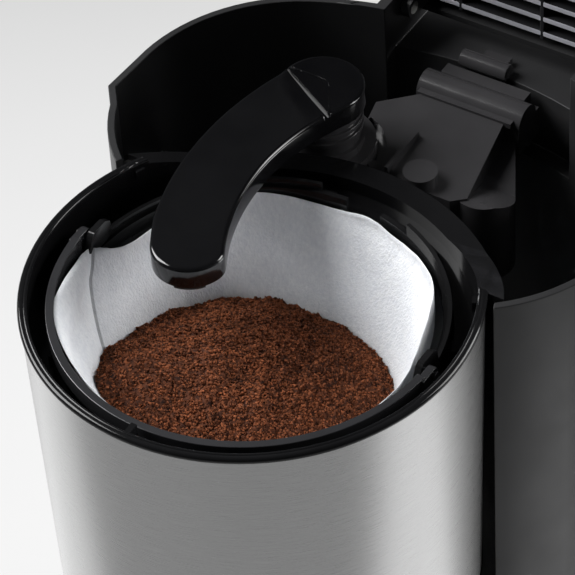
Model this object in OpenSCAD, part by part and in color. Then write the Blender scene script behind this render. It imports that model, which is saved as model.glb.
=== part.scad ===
// Drip coffee maker with a swivelling spout arm over a lift-out filter basket.
// Millimetres. +Z is up and the front faces -Y. The origin is on the table, under the filter drum's axis.

/* [Heights] */
// Height of the rim of the housing and of the filter drum above the table
rim_z = 332; // [326:1:345]
// Height of the base's deck above the table
deck_z = 38; // [36:1:42]
// Height of the filter drum from its lower ring to the rim
drum_h = 134; // [130:1:138]

/* [Housing] */
// Wall of the moulded shells
shell_wall = 2.6; // [2.2:0.1:3.0]
// Radius of the back of the housing, about the drum's axis
back_r = 146.7; // [144:0.5:150]
// Radius of the rounded rear corners
side_r = 62.4; // [60:0.5:65]
// Angle off the middle at which a rear corner starts
side_turn = 23; // [22:0.5:24]
// Half width at the front corners
corner_x = 82.3; // [81:0.5:85]
// Distance of the front corners behind the drum's axis
corner_y = 42.4; // [41:0.5:44]
// Half width at the shoulders
shoulder_x = 96; // [94:0.5:97]
// Distance of the shoulders behind the drum's axis
shoulder_y = 60; // [58:0.5:62]
// Height of the tank's floor above the table
tank_floor_z = 66; // [62:1:72]

/* [Hinge recess] */
// Half width of the recess between the cheeks
recess_half = 37; // [35:0.5:38]
// Shift of the recess and the lid's hinge to the right
recess_x = 3.2; // [2.6:0.2:3.4]
// Thickness of a cheek
cheek = 4; // [3.5:0.5:5]
// Depth of the recess below the rim
recess_drop = 21.6; // [20:0.2:23]
// Depth of the tank's swell behind the housing's back
recess_swell = 3.8; // [3.6:0.1:5]
// Depth of the hinge block behind the housing's back
block_depth = 25.3; // [22:0.5:29]
// Height of the hinge block's upright back face
block_h = 34; // [30:1:40]

/* [Lid] */
// Distance of the hinge axis behind the housing's back
hinge_back = 7; // [6:0.1:8]
// Depth of the hinge axis below the rim
hinge_drop = 7.6; // [7:0.2:9]
// Radius of a hinge pin
hinge_pin_r = 2.4; // [2:0.1:3]
// Length of the lid's tongue behind the hinge axis
tongue_tail = 6.9; // [6:0.1:8]
// Height of the lid's crown over its lower edge
crown_h = 20; // [18:0.5:22]
// Radius of the lid's crown
crown_r = 1000; // [900:50:1400]
// Wall of the lid
lid_wall = 2.2; // [1.8:0.1:2.6]
// Gap between the closed lid and the rim
lid_gap = 0.4; // [0.3:0.1:0.8]

/* [Drum] */
// Room from the edge of the basket's rim to the outside of the drum's rim
drum_room = 11.5; // [11.3:0.1:12]
// Thickness of the steel skin
skin_t = 0.7; // [0.5:0.1:0.8]
// Narrowing of the drum's radius from its rim to its foot
drum_taper = 2.4; // [2:0.2:2.6]
// Wall of the black drum liner
liner_wall = 1.9; // [1.6:0.1:2]
// Height of the rim bead above the steel
bead_h = 1.6; // [1.4:0.2:2]
// Drop of the rear ledge below the rim
ledge_drop = 13.6; // [13:0.2:14.4]
// Width of the rear ledge outside the bay
ledge_w = 2.8; // [2.6:0.1:3.2]
// Angle of the joins between drum and housing
join_angle = 27.5; // [26:0.5:29]

/* [Basket] */
// Outer radius of the basket's rim
basket_r = 63.7; // [63:0.1:64]
// Drop of the basket's rim below the drum's rim
basket_drop = 9.9; // [9.6:0.1:10.4]
// Wall of the basket
basket_wall = 1.8; // [1.6:0.1:2]
// Depth of the basket below its rim
basket_depth = 84; // [80:1:88]
// Height of the bail's bar
bail_h = 6; // [5:0.5:6.5]
// Width of the bail's bar
bail_w = 2.8; // [2.4:0.1:3]
// Radius of the bail's pivot pins
bail_pin_r = 1.6; // [1.4:0.1:1.8]
// Depth of the coffee's top below the basket's rim
coffee_drop = 21.7; // [18:0.5:26]
// Radius of the coffee's mound
coffee_bow = 87; // [80:1:100]

/* [Spout arm] */
// Sideways place of the arm's pivot
pivot_x = -29.8; // [-31:0.1:-29]
// Distance of the arm's pivot from the rear ledge's edge
pivot_out = 16; // [15.6:0.1:17]
// Height of the arm's top face above the rim
arm_rise = 4.4; // [4:0.2:5]
// Thickness of the arm
arm_h = 8.5; // [7.5:0.5:8.5]
// Width of the arm
arm_w = 26.2; // [24:0.2:27]
// Radius of the arm's bow along its outer edge
bow_out_r = 120; // [114:1:126]
// Radius of the arm's bow along its inner edge
bow_in_r = 84; // [80:1:88]
// Outer radius of the pivot's hub
hub_r = 14; // [13:0.5:14.4]

/* [Riser cover] */
// Depth of the cover's plate below the rim
cover_drop = 23.6; // [23:0.2:24.4]
// Depth of the cover's body below its plate
cover_h = 34; // [30:1:36]
// Length of the bar along the cover's back
bar_w = 41; // [38:1:42]
// Radius of the bar's round top
bar_r = 6; // [5.5:0.1:6.2]
// Radius of the bulge beside the plate
bulge_r = 10.6; // [10:0.2:11]

/* [Carafe] */
// Height of the carafe's lid over the glass
carafe_lid_h = 16.2; // [15:0.2:18]
// Largest radius of the glass
glass_r = 64.5; // [62:0.5:66]
// Wall of the glass
glass_t = 2.4; // [2:0.1:3]
// Radius of the carafe's neck
neck_r = 46; // [44:0.5:48]
// Reach of the handle in front of the glass
handle_reach = 44; // [40:1:50]

/* [Base] */
// Width of the base's front rim outside the drum's rim
base_rim = 5.3; // [4:0.1:6.5]
// Radius of the hot plate
plate_r = 57; // [54:0.5:60]
// Height of the hot plate above the deck
plate_rise = 3; // [2.5:0.5:3.5]
// Height of the rubber feet
foot_h = 3; // [2.5:0.5:4]

/* [Hidden] */
$fn = 96;

clear = 0.3;                       // between bodies that move apart
run = 0.05;                        // radial running fit of a pin
drum_r = basket_r + drum_room;     // outside of the drum's beaded rim
skin_r = drum_r - 0.6;             // outside of the steel's upper edge
bay_r = drum_r + 2.2;              // bay in the housing's front
ledge_r = bay_r + ledge_w;         // edge of the rear ledge
base_r = drum_r + base_rim;
recess_r = back_r + recess_swell;
block_back_y = back_r + block_depth;
hinge_y = back_r + hinge_back;
tongue_y = hinge_y + tongue_tail;
pivot_y = sqrt((ledge_r + pivot_out) * (ledge_r + pivot_out) - pivot_x * pivot_x);
pivot = [pivot_x, pivot_y];
skin_top = rim_z - bead_h;         // upper edge of the steel
drum_z = rim_z - drum_h;           // underside of the drum
ledge_z = rim_z - ledge_drop;
basket_z = rim_z - basket_drop;
plate_z = deck_z + plate_rise;
arm_top = rim_z + arm_rise;
arm_z = arm_top - arm_h;
hinge_z = rim_z - hinge_drop;
side_x = (back_r - side_r) * sin(side_turn);
side_y = (back_r - side_r) * cos(side_turn);
join = drum_r * [cos(join_angle), sin(join_angle)];
heater_half = -pivot_x;            // the hot leg stands under the pivot
far = 400;

// ---------- plan of the housing ----------

function unit(v) = v / norm(v);
// normal that points into the housing, for a border walked anticlockwise
function inward(a, b) = let(u = unit(b - a)) [-u[1], u[0]];
function mitre(a, p, b, d) =
    let(m = inward(a, p), n = inward(p, b)) p + (m + n) * d / (1 + m * n);

corner = [corner_x, corner_y];
shoulder = [shoulder_x, shoulder_y];
side = [side_x + side_r, side_y];
function front_points(d) = [
    join + inward(join, corner) * d,
    mitre(join, corner, shoulder, d),
    mitre(corner, shoulder, side, d),
    side - [d, 0]];
function flip(p) = [for (i = [len(p) - 1:-1:0]) [-p[i][0], p[i][1]]];

module housing_plan(d = 0) {
    intersection() {
        circle(r = back_r - d);
        polygon([[0, 0], 2 * back_r * [sin(side_turn), cos(side_turn)],
            2 * back_r * [-sin(side_turn), cos(side_turn)]]);
    }
    for (s = [-1, 1]) translate([s * side_x, side_y]) circle(r = side_r - d);
    polygon(concat(front_points(d), flip(front_points(d))));
}

// everything above the drum's edge line, lowered by drop: level at the front, a ramp, level at the rear
module above_edge(drop = 0, x0 = -far, x1 = far) {
    ramp_start = join[1] + 0.4;
    ramp_end = ramp_start + 27;
    translate([x0, 0, 0]) rotate([90, 0, 90]) linear_extrude(x1 - x0)
        polygon([[-far, skin_top + far], [-far, skin_top - drop], [ramp_start, skin_top - drop],
            [ramp_end, ledge_z - drop], [far, ledge_z - drop], [far, skin_top + far]]);
}

module ring(r_out, r_in, h) {
    difference() {
        cylinder(r = r_out, h = h);
        translate([0, 0, -1]) cylinder(r = r_in, h = h + 2);
    }
}

// ---------- base ----------

module base_plan(d = 0) {
    housing_plan(d);
    circle(r = base_r - d);
}

boss_r = 5;
rear_boss = [side_x, side_y] + (side_r - shell_wall - boss_r + 0.4) * [cos(45), sin(45)];
boss_spots = [[48, -46], [-48, -46], rear_boss, [-rear_boss[0], rear_boss[1]]];
switch_w = 26;
switch_h = 17;
switch_z = 20;
bezel_t = 4;
gland_turn = 13;                   // angle and height of the cord's inlet
gland_z = 20;
gland_r = 6;

module base_shell() color([0.12, 0.12, 0.13]) difference() {
    union() {
        difference() {
            translate([0, 0, foot_h]) linear_extrude(deck_z - foot_h) base_plan();
            translate([0, 0, -1]) linear_extrude(deck_z + 1 - shell_wall) base_plan(shell_wall);
        }
        for (p = boss_spots) translate([p[0], p[1], foot_h + 3])
            cylinder(r = boss_r, h = deck_z - shell_wall - foot_h - 2);
        // collar that carries the hot plate
        translate([0, 0, deck_z - 6]) ring(plate_r + 3.4, plate_r + 1.2, 4);
    }
    for (p = boss_spots) translate([p[0], p[1], 0]) cylinder(r = screw_r + 0.05, h = foot_h + screw_len + 4);
    translate([0, 0, deck_z - shell_wall - 1]) cylinder(r = plate_r + 1.2, h = shell_wall + 2);
    // way up into the column for the hoses
    translate([0, 0, deck_z - shell_wall - 1]) linear_extrude(shell_wall + 2) difference() {
        housing_plan(shell_wall + 2);
        circle(r = ledge_r + 2);
    }
    translate([-switch_w / 2, -base_r - 2, switch_z - switch_h / 2])
        cube([switch_w, 8, switch_h]);
    rotate([0, 0, -gland_turn]) translate([0, back_r, gland_z]) rotate([90, 0, 0])
        cylinder(r = gland_r, h = 12, center = true);
}

slot_pitch = 7;
slot_w = 2.4;
slot_len = 32;
module bottom_plate() color([0.16, 0.16, 0.17]) difference() {
    translate([0, 0, foot_h]) linear_extrude(3) base_plan(shell_wall + clear);
    for (p = boss_spots) translate([p[0], p[1], 0]) {
        cylinder(r = 1.8, h = foot_h + 4);
        translate([0, 0, foot_h - 1]) cylinder(r = 3.4, h = 2.2);
    }
    for (p = foot_spots) translate([p[0], p[1], foot_h - 1]) cylinder(r = foot_r, h = 2);
    // air slots
    for (i = [-4:4]) translate([i * slot_pitch - slot_w / 2, foot_r + 4, foot_h - 1])
        cube([slot_w, slot_len, 6]);
}

screw_r = 1.5;
screw_len = 14;
module base_screws() color([0.6, 0.6, 0.62])
    for (p = boss_spots) translate([p[0], p[1], foot_h - 0.2]) difference() {
        union() {
            cylinder(r = 2 * screw_r, h = 1.4);
            cylinder(r = screw_r, h = screw_len);
        }
        for (a = [0, 90]) rotate([0, 0, a]) translate([-1.8, -0.4, -1]) cube([3.6, 0.8, 1.8]);
    }

foot_r = 8;
foot_spots = [[0, 0], [0, -64], [62, -20], [-62, -20], [58, 112], [-58, 112]];
module rubber_feet() color([0.1, 0.1, 0.1])
    for (p = foot_spots) translate([p[0], p[1], 0]) rotate_extrude()
        polygon([[0, 0], [foot_r - 1.6, 0], [foot_r - 0.4, 1], [foot_r - 0.1, foot_h + 1], [0, foot_h + 1]]);

module hot_plate() color([0.2, 0.2, 0.21]) rotate_extrude() difference() {
    union() {
        translate([0, plate_z - 1.6]) square([plate_r, 1.6]);
        translate([plate_r - 1.6, deck_z - 5]) square([1.6, plate_z - deck_z + 4]);
        translate([plate_r - 1.6, plate_z - 1.6]) intersection() {
            circle(r = 1.6);
            square(2);
        }
    }
    translate([plate_r - 1.2, plate_z - 0.4]) square([2, 2]);
}

module plate_seal() color([0.75, 0.75, 0.72]) translate([0, 0, deck_z - 2]) ring(plate_r + 1.2, plate_r, 2.6);

heater_r = 5;
heater_leg = 34;
heater_z = plate_z - 1.6 - heater_r;
module heater_section() difference() {
    union() {
        circle(r = heater_r);
        translate([-3, 0]) square([6, heater_r]);
    }
    circle(r = 3.4);
}
module heater() color([0.75, 0.75, 0.77]) translate([0, 0, heater_z]) {
    rotate([0, 0, 180]) rotate_extrude(angle = 180) translate([heater_half, 0]) heater_section();
    for (s = [-1, 1]) translate([s * heater_half, heater_leg, 0]) rotate([90, 0, 0])
        linear_extrude(heater_leg) heater_section();
}

hose_r = 5;
hose_bore = 3.6;
duck_r = 9;                        // bends that take a hose under the plate's skirt
rise_r = 14;                       // bend up into the column
hose_top = tank_floor_z - shell_wall - clear;
module hose_section() difference() {
    circle(r = hose_r);
    circle(r = hose_bore);
}
module hose_bend(y, z, r, a) translate([0, y, z]) rotate([90, 0, 90]) rotate([0, 0, a])
    rotate_extrude(angle = 90) translate([r, 0]) hose_section();
// from a leg of the heater, under the plate's skirt and up to the tank's floor
module hose() {
    low_z = heater_z - 2 * duck_r;
    hose_bend(heater_leg, heater_z - duck_r, duck_r, 0);
    hose_bend(heater_leg + 2 * duck_r, heater_z - duck_r, duck_r, 180);
    translate([0, pivot_y - rise_r, low_z]) rotate([90, 0, 0])
        linear_extrude(pivot_y - rise_r - heater_leg - 2 * duck_r) hose_section();
    hose_bend(pivot_y - rise_r, low_z + rise_r, rise_r, 270);
    translate([0, pivot_y, low_z + rise_r]) linear_extrude(hose_top - low_z - rise_r) hose_section();
}
module cold_hose() color([0.85, 0.85, 0.82]) translate([heater_half, 0, 0]) hose();
module hot_hose() color([0.85, 0.85, 0.82]) translate([-heater_half, 0, 0]) hose();

module check_valve() color([0.9, 0.9, 0.88])
    translate([heater_half, pivot_y, tank_floor_z - 20]) {
        ring(hose_bore - 0.05, 1.5, 2);
        translate([0, 0, 2.8]) sphere(r = 2, $fn = 32);
    }

module cord_inlet() color([0.08, 0.08, 0.08]) rotate([0, 0, -gland_turn]) translate([0, back_r + 1.5, gland_z])
    rotate([90, 0, 0]) rotate_extrude()
        polygon([[3.4, 0], [7, 0], [7.6, 1.4], [gland_r - 0.1, 1.5], [gland_r - 0.1, 8], [3.4, 8]]);

bezel_y = -base_r - 0.6;
rocker_pin_r = 1.2;
rocker_w = 18;
rocker_y = bezel_y + 6.2;
module switch_bezel() color([0.1, 0.1, 0.1]) difference() {
    union() {
        translate([-switch_w / 2 + 0.1, bezel_y, switch_z - switch_h / 2 + 0.1])
            cube([switch_w - 0.2, bezel_t, switch_h - 0.2]);
        // lugs behind that hold the pin
        for (s = [-1, 1]) translate([s * (rocker_w / 2 + 1.8) - 1.4, bezel_y + bezel_t - 1, switch_z - 4])
            cube([2.8, 7, 8]);
    }
    translate([-rocker_w / 2 - 0.4, bezel_y - 1, switch_z - 6.6]) cube([rocker_w + 0.8, bezel_t + 2, 13.2]);
    translate([0, rocker_y, switch_z]) rotate([0, 90, 0]) cylinder(r = rocker_pin_r + 0.02, h = 40, center = true);
}

// the rocker's section, seen from the side with the front to the left
module rocker_section() polygon([[2, -2.4], [-3.2, -5.2], [-6.2, -5.4], [-5, 0], [-6.2, 5.4], [-3.2, 5.2], [2, 2.4]]);
module switch_rocker() color([0.16, 0.16, 0.17])
    translate([0, rocker_y, switch_z]) rotate([8, 0, 0]) rotate([90, 0, 90]) difference() {
        linear_extrude(rocker_w, center = true) rocker_section();
        cylinder(r = rocker_pin_r + run, h = rocker_w + 2, center = true);
    }

module rocker_pin() color([0.7, 0.7, 0.72]) translate([-11.5, rocker_y, switch_z]) rotate([0, 90, 0])
    cylinder(r = rocker_pin_r, h = 23);

// ---------- column with tank ----------

block_x = recess_half + cheek;
recess_z = rim_z - recess_drop;
gauge_x = -(side_x + side_r);
gauge_y = side_y;
gauge_w = 11;
gauge_z0 = tank_floor_z + 12;
gauge_z1 = rim_z - 46;

module hinge_block() {
    translate([recess_x - block_x, 0, 0]) rotate([90, 0, 90]) linear_extrude(2 * block_x)
        polygon([[100, rim_z], [block_back_y, rim_z], [block_back_y, rim_z - block_h],
            [back_r - 3, rim_z - block_h - 26], [100, rim_z - block_h - 26]]);
}

module column_housing() color([0.13, 0.13, 0.14]) {
    difference() {
        union() {
            translate([0, 0, deck_z]) linear_extrude(rim_z - deck_z) difference() {
                housing_plan();
                circle(r = bay_r);
            }
            difference() {
                hinge_block();
                cylinder(r = back_r - shell_wall - 1, h = far);
            }
        }
        // tank
        difference() {
            translate([0, 0, tank_floor_z]) linear_extrude(far) housing_plan(shell_wall);
            cylinder(r = ledge_r, h = far);
        }
        // lower hollow, open to the base
        difference() {
            linear_extrude(tank_floor_z - shell_wall) housing_plan(shell_wall);
            cylinder(r = ledge_r, h = far);
        }
        // wall behind the drum, cut down under the liner's ledge
        intersection() {
            linear_extrude(far) housing_plan(shell_wall);
            cylinder(r = ledge_r + 0.1, h = far);
            above_edge(2.5);
        }
        // hinge recess and the tank's swell behind it
        translate([recess_x - recess_half, 100, recess_z]) cube([2 * recess_half, 100, 60]);
        intersection() {
            translate([recess_x - recess_half, 100, rim_z - block_h - 12]) cube([2 * recess_half, 100, 80]);
            cylinder(r = recess_r, h = far);
        }
        for (s = [-1, 1]) translate([recess_x + s * (recess_half + cheek / 2), hinge_y, hinge_z]) rotate([0, 90, 0])
            cylinder(r = hinge_pin_r + 0.02, h = cheek + 1, center = true);
        // outlets through the tank's floor
        for (s = [-1, 1]) translate([s * heater_half, pivot_y, tank_floor_z - 12]) cylinder(r = 2.6, h = 16);
        // slot for the water gauge
        translate([gauge_x - 5, gauge_y - gauge_w / 2, gauge_z0]) cube([14, gauge_w, gauge_z1 - gauge_z0]);
    }
    // spigots for the hoses
    for (s = [-1, 1]) translate([s * heater_half, pivot_y, tank_floor_z - shell_wall - 10])
        ring(hose_bore - 0.05, 2.6, 10.5);
}

float_r = 3.6;
module water_gauge() color([0.75, 0.8, 0.85, 0.6]) difference() {
    translate([gauge_x - 0.6, gauge_y - gauge_w / 2 + 0.1, gauge_z0 + 0.1])
        cube([gauge_w, gauge_w - 0.2, gauge_z1 - gauge_z0 - 0.2]);
    translate([gauge_x + gauge_w / 2 - 0.4, gauge_y, gauge_z0 + 2])
        cylinder(r = float_r + 0.4, h = gauge_z1 - gauge_z0 - 4);
    for (z = [gauge_z0 + 3, gauge_z1 - 11]) translate([gauge_x + 6, gauge_y - 1.5, z]) cube([8, 3, 8]);
}

float_h = 9;
module gauge_float() color([0.8, 0.15, 0.1]) translate([gauge_x + gauge_w / 2 - 0.4, gauge_y, gauge_z0 + 2.3])
    rotate_extrude() polygon([[0, 0], [float_r - 1, 0], [float_r, 1], [float_r, float_h - 1],
        [float_r - 1, float_h], [0, float_h]]);

module tank_strainer() color([0.2, 0.2, 0.2]) translate([heater_half, pivot_y, tank_floor_z]) difference() {
    cylinder(r = 7, h = 9);
    translate([0, 0, -1]) cylinder(r = 5.6, h = 8.6);
    for (a = [0:30:150]) rotate([0, 0, a]) translate([-8, -0.8, 1.6]) cube([16, 1.6, 4.6]);
}

// ---------- filter drum ----------

module arc_wedge(a0, a1, r) {
    steps = 12;
    polygon(concat([[0, 0]], [for (i = [0:steps]) let(a = a0 + (a1 - a0) * i / steps) r * [cos(a), sin(a)]]));
}

skin_foot = drum_z + 6;
function taper_at(z) = drum_taper * (skin_top - z) / (skin_top - skin_foot);

module steel_skin() color([0.8, 0.8, 0.8])
    rotate([0, 0, 180 - join_angle + 1]) rotate_extrude(angle = 180 + 2 * join_angle - 2)
        polygon([[skin_r - skin_t, skin_top - 0.4], [skin_r - skin_t - drum_taper, skin_foot],
            [skin_r - drum_taper, skin_foot], [skin_r, skin_top - 0.4]]);

liner_r = skin_r - skin_t - 0.05;
liner_in = liner_r - liner_wall;

module ledge_blank() intersection() {
    translate([0, 0, ledge_z - 10]) linear_extrude(rim_z - ledge_z + 9) difference() {
        intersection() {
            housing_plan(shell_wall + 0.1);
            circle(r = ledge_r);
            translate([-far, join[1] + 0.8]) square(2 * far);
        }
        circle(r = liner_r - 0.6);
    }
    above_edge(2.5);
}
module drum_liner() color([0.08, 0.08, 0.09]) {
    difference() {
        union() {
            // wall and floor
            rotate_extrude() polygon([
                [liner_in, rim_z - 1], [liner_in - drum_taper, drum_z + 9], [13, drum_z + 9],
                [13, drum_z + 7], [liner_r - drum_taper - 0.1, drum_z + 7],
                [liner_r - drum_taper, skin_foot + 3], [liner_r, skin_top - 1.2], [liner_r, rim_z - 1]]);
            // beaded rim
            rotate_extrude() {
                translate([drum_r - 1.3, rim_z - 1.3]) circle(r = 1.3, $fn = 40);
                translate([liner_in + 0.7, rim_z - 0.7]) circle(r = 0.7, $fn = 40);
                translate([liner_in + 0.7, rim_z - 1.9]) square([drum_r - liner_in - 2, 1.3]);
                translate([liner_in + 0.02, skin_top - 0.3]) square([drum_r - liner_in - 1, 0.9]);
            }
            ledge_blank();
        }
        // lowered behind the joins
        intersection() {
            above_edge(0);
            translate([-far, join[1] + 0.4, 0]) cube([2 * far, far, far]);
        }
    }
    // rib at the front that centres the basket
    translate([-1, -liner_in - 0.4, rim_z - 9]) cube([2, liner_in - basket_r - 3.6, 8.2]);
    // lugs at the joins
    for (s = [0, 1]) mirror([s, 0, 0]) rotate([0, 0, join_angle - 1.6]) translate([liner_in - 1.6, -1.7, rim_z - 5.6])
        cube([3, 3.4, 4]);
    // seat ring under the basket's lugs
    translate([0, 0, basket_z - 12]) difference() {
        cylinder(r = liner_in - 0.02, h = 3);
        translate([0, 0, -1]) cylinder(r = basket_r + 0.6, h = 5);
    }
}

ring_w = 8;
ring_h = 6.9;
module drum_ring() color([0.1, 0.1, 0.11]) translate([0, 0, drum_z]) rotate_extrude() polygon([
    [liner_r - ring_w, 0], [skin_r - drum_taper - 1.2, 0], [skin_r - drum_taper + 0.3, 1.4],
    [skin_r - drum_taper + 0.3, ring_h - 1.1], [liner_r - drum_taper - 1, ring_h - 1.1],
    [liner_r - drum_taper - 1, ring_h], [liner_r - ring_w, ring_h]]);

// ---------- basket ----------

basket_in = basket_r - basket_wall;
slot_half = 22;
nozzle_z = drum_z + 3.5;
floor_z = basket_z - basket_depth;
nozzle_bore = 5;

// a round mouth that narrows to a slot
module cone_loft(r_top, z_top, r_foot, z_foot, half = slot_half) {
    hull() {
        translate([0, 0, z_top - 0.02]) cylinder(r = r_top, h = 0.02, $fn = 72);
        for (s = [-1, 1]) translate([s * half, 0, z_foot]) cylinder(r = r_foot, h = 0.02, $fn = 24);
    }
}

module filter_basket() color([0.1, 0.1, 0.11]) {
    difference() {
        union() {
            cone_loft(basket_r - 1, basket_z - 8, 9, floor_z - basket_wall);
            translate([0, 0, basket_z - 8.02]) cylinder(r = basket_r - 1, h = 7.02);
            // rolled rim
            translate([0, 0, basket_z - 2.6]) cylinder(r = basket_r, h = 2.6);
            // seating lugs
            for (a = [20:40:340]) rotate([0, 0, a]) translate([basket_r - 2, -2.5, basket_z - 8.7]) cube([5.4, 5, 2.4]);
            // drip nozzle
            translate([0, 0, nozzle_z]) cylinder(r = 8.4, h = floor_z - nozzle_z);
        }
        cone_loft(basket_in - 1, basket_z - 8, 9 - basket_wall, floor_z);
        translate([0, 0, basket_z - 8.03]) cylinder(r = basket_in - 1, h = 6.03);
        translate([0, 0, basket_z - 2.6]) cylinder(r = basket_in + 0.4, h = 4);
        translate([0, 0, nozzle_z - 1]) cylinder(r = nozzle_bore, h = floor_z - nozzle_z - 1);
        translate([0, 0, nozzle_z]) cylinder(r = 3, h = 40);
        // rim left out at the back, with a notch in the wall
        translate([0, 0, basket_z - 2.6]) linear_extrude(far) arc_wedge(68.5, 101, drum_r);
        translate([0, 0, basket_z - 7.5]) linear_extrude(far) arc_wedge(79, 92, drum_r);
    }
    // ears for the bail
    for (s = [-1, 1]) difference() {
        translate([s * (basket_r - 1.6), 0, basket_z - 2]) rotate([0, 90, 0]) linear_extrude(2.2, center = true)
            union() {
                translate([-5.5, 1]) circle(r = 2.9);
                polygon([[0, -5], [0, 9.5], [-6.5, 8.6], [-8.3, 6], [-8.3, 0], [-6, -2]]);
            }
        translate([s * (basket_r - 1.6), 0, basket_z + 3]) rotate([0, 90, 0])
            cylinder(r = bail_pin_r + 0.02, h = 8, center = true);
    }
}

bail_in = basket_r;
module basket_bail() color([0.09, 0.09, 0.1]) difference() {
    union() {
        translate([0, 0, basket_z + clear]) rotate([0, 0, 184]) rotate_extrude(angle = 172)
            translate([bail_in, 0]) square([bail_w, bail_h]);
        // pivot bosses
        for (s = [-1, 1]) translate([s * (basket_r + 2), 0, basket_z + 3]) rotate([0, 90, 0])
            linear_extrude(bail_w, center = true) union() {
                circle(r = 2.7);
                translate([-2.7, -6.5]) square([5.4, 6.5]);
            }
    }
    for (s = [-1, 1]) translate([s * (basket_r + 2), 0, basket_z + 3]) rotate([0, 90, 0])
        cylinder(r = bail_pin_r + run, h = 8, center = true);
}

module bail_pins() color([0.12, 0.12, 0.13])
    for (s = [-1, 1]) translate([s * (basket_r + 0.8), 0, basket_z + 3]) rotate([0, 90, 0])
        cylinder(r = bail_pin_r, h = 7, center = true);

module drip_valve() color([0.14, 0.14, 0.15]) {
    translate([0, 0, drum_z - 4.4]) cylinder(r = 2, h = floor_z + 2.6 - drum_z + 4.4);
    translate([0, 0, drum_z - 4.4]) cylinder(r = 4.6, h = 3.6);
    translate([0, 0, floor_z + 1.2]) cylinder(r = 5, h = 1.4);
}

module valve_washer() color([0.7, 0.25, 0.2]) translate([0, 0, floor_z + 0.05]) ring(5, 2.02, 1.1);

spring_r = 3.5;
spring_wire = 0.35;
spring_turns = 7;
module valve_spring() color([0.75, 0.75, 0.75]) {
    z0 = drum_z - 0.4;
    z1 = floor_z - 3.2;
    steps = 16 * spring_turns;
    sides = 6;
    points = [for (i = [0:steps]) for (j = [0:sides - 1])
        let(a = 360 * spring_turns * i / steps, b = 360 * j / sides,
            r = spring_r + spring_wire * cos(b))
        [r * cos(a), r * sin(a), z0 + (z1 - z0) * i / steps + spring_wire * sin(b)]];
    faces = concat([[for (j = [0:sides - 1]) j]],
        [for (i = [0:steps - 1]) for (j = [0:sides - 1]) let(k = (j + 1) % sides)
            [i * sides + j, (i + 1) * sides + j, (i + 1) * sides + k, i * sides + k]],
        [[for (j = [sides - 1:-1:0]) steps * sides + j]]);
    polyhedron(points, faces);
}

paper_gap = 0.4;
paper_t = 0.6;
paper_lift = 7;                    // room for the valve's lift under the paper
cone_h = basket_depth - 8;
function foot_at(h) = let(r = 9 - basket_wall) r + (basket_in - 1 - r) * h / cone_h;
function half_at(h) = slot_half * (1 - h / cone_h);
// the room in the basket's cone, d inside its wall, from the height h above its floor
module cone_room(d, h) cone_loft(basket_in - 1 - d, basket_z - 8, foot_at(h) - d, floor_z + h, half_at(h));

module paper_filter() color([0.97, 0.97, 0.96]) difference() {
    union() {
        cone_room(paper_gap, paper_lift);
        translate([0, 0, basket_z - 8.02]) cylinder(r = basket_in - 1 - paper_gap, h = 4.02);
    }
    cone_room(paper_gap + paper_t, paper_lift + paper_t);
    translate([0, 0, basket_z - 8.1]) cylinder(r = basket_in - 1 - paper_gap - paper_t, h = 5);
}

module ground_coffee() color([0.32, 0.16, 0.09]) intersection() {
    cone_room(paper_gap + 2 * paper_t, paper_lift + 2 * paper_t);
    translate([-4, -8, basket_z - coffee_drop - coffee_bow]) sphere(r = coffee_bow);
}

// ---------- riser and spout arm ----------

cover_z = rim_z - cover_drop;      // top of the cover's plate
hub_top = cover_z + 6;
bar_back = recess_r - 3;
bar_front = bar_back - 2.6 * bar_r;
bar_x = -17;
plate_front = ledge_r + 4.5;
bulge_c = [28.5, plate_front + bulge_r + 4.2];
riser_bore = 3.4;
riser_r = 4.6;
spigot_drop = 14;                  // depth of the riser's end below the hub
module riser_tube() color([0.85, 0.85, 0.82])
    translate([pivot_x, pivot_y, tank_floor_z]) ring(riser_r, riser_bore, hub_top - spigot_drop - tank_floor_z);

// level part of the cover between the hub and the bar
module plate_plan() polygon([pivot + [4, 28], [bar_x + 4, bar_front], [bar_x + 35, bar_front + 2],
    bulge_c + [-2, -8], bulge_c + [-6.5, -12], [-8, plate_front + 2.8], pivot + [9, 6]]);
module bulge_plan() {
    translate(bulge_c) circle(r = bulge_r);
    polygon([[bar_x + 27, bar_front], [bar_x + bar_w - 1.4, bar_front], bulge_c + [8.9, 5.7], bulge_c,
        bulge_c + [-8.5, -10], bulge_c + [-16, -4]]);
}

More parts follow.
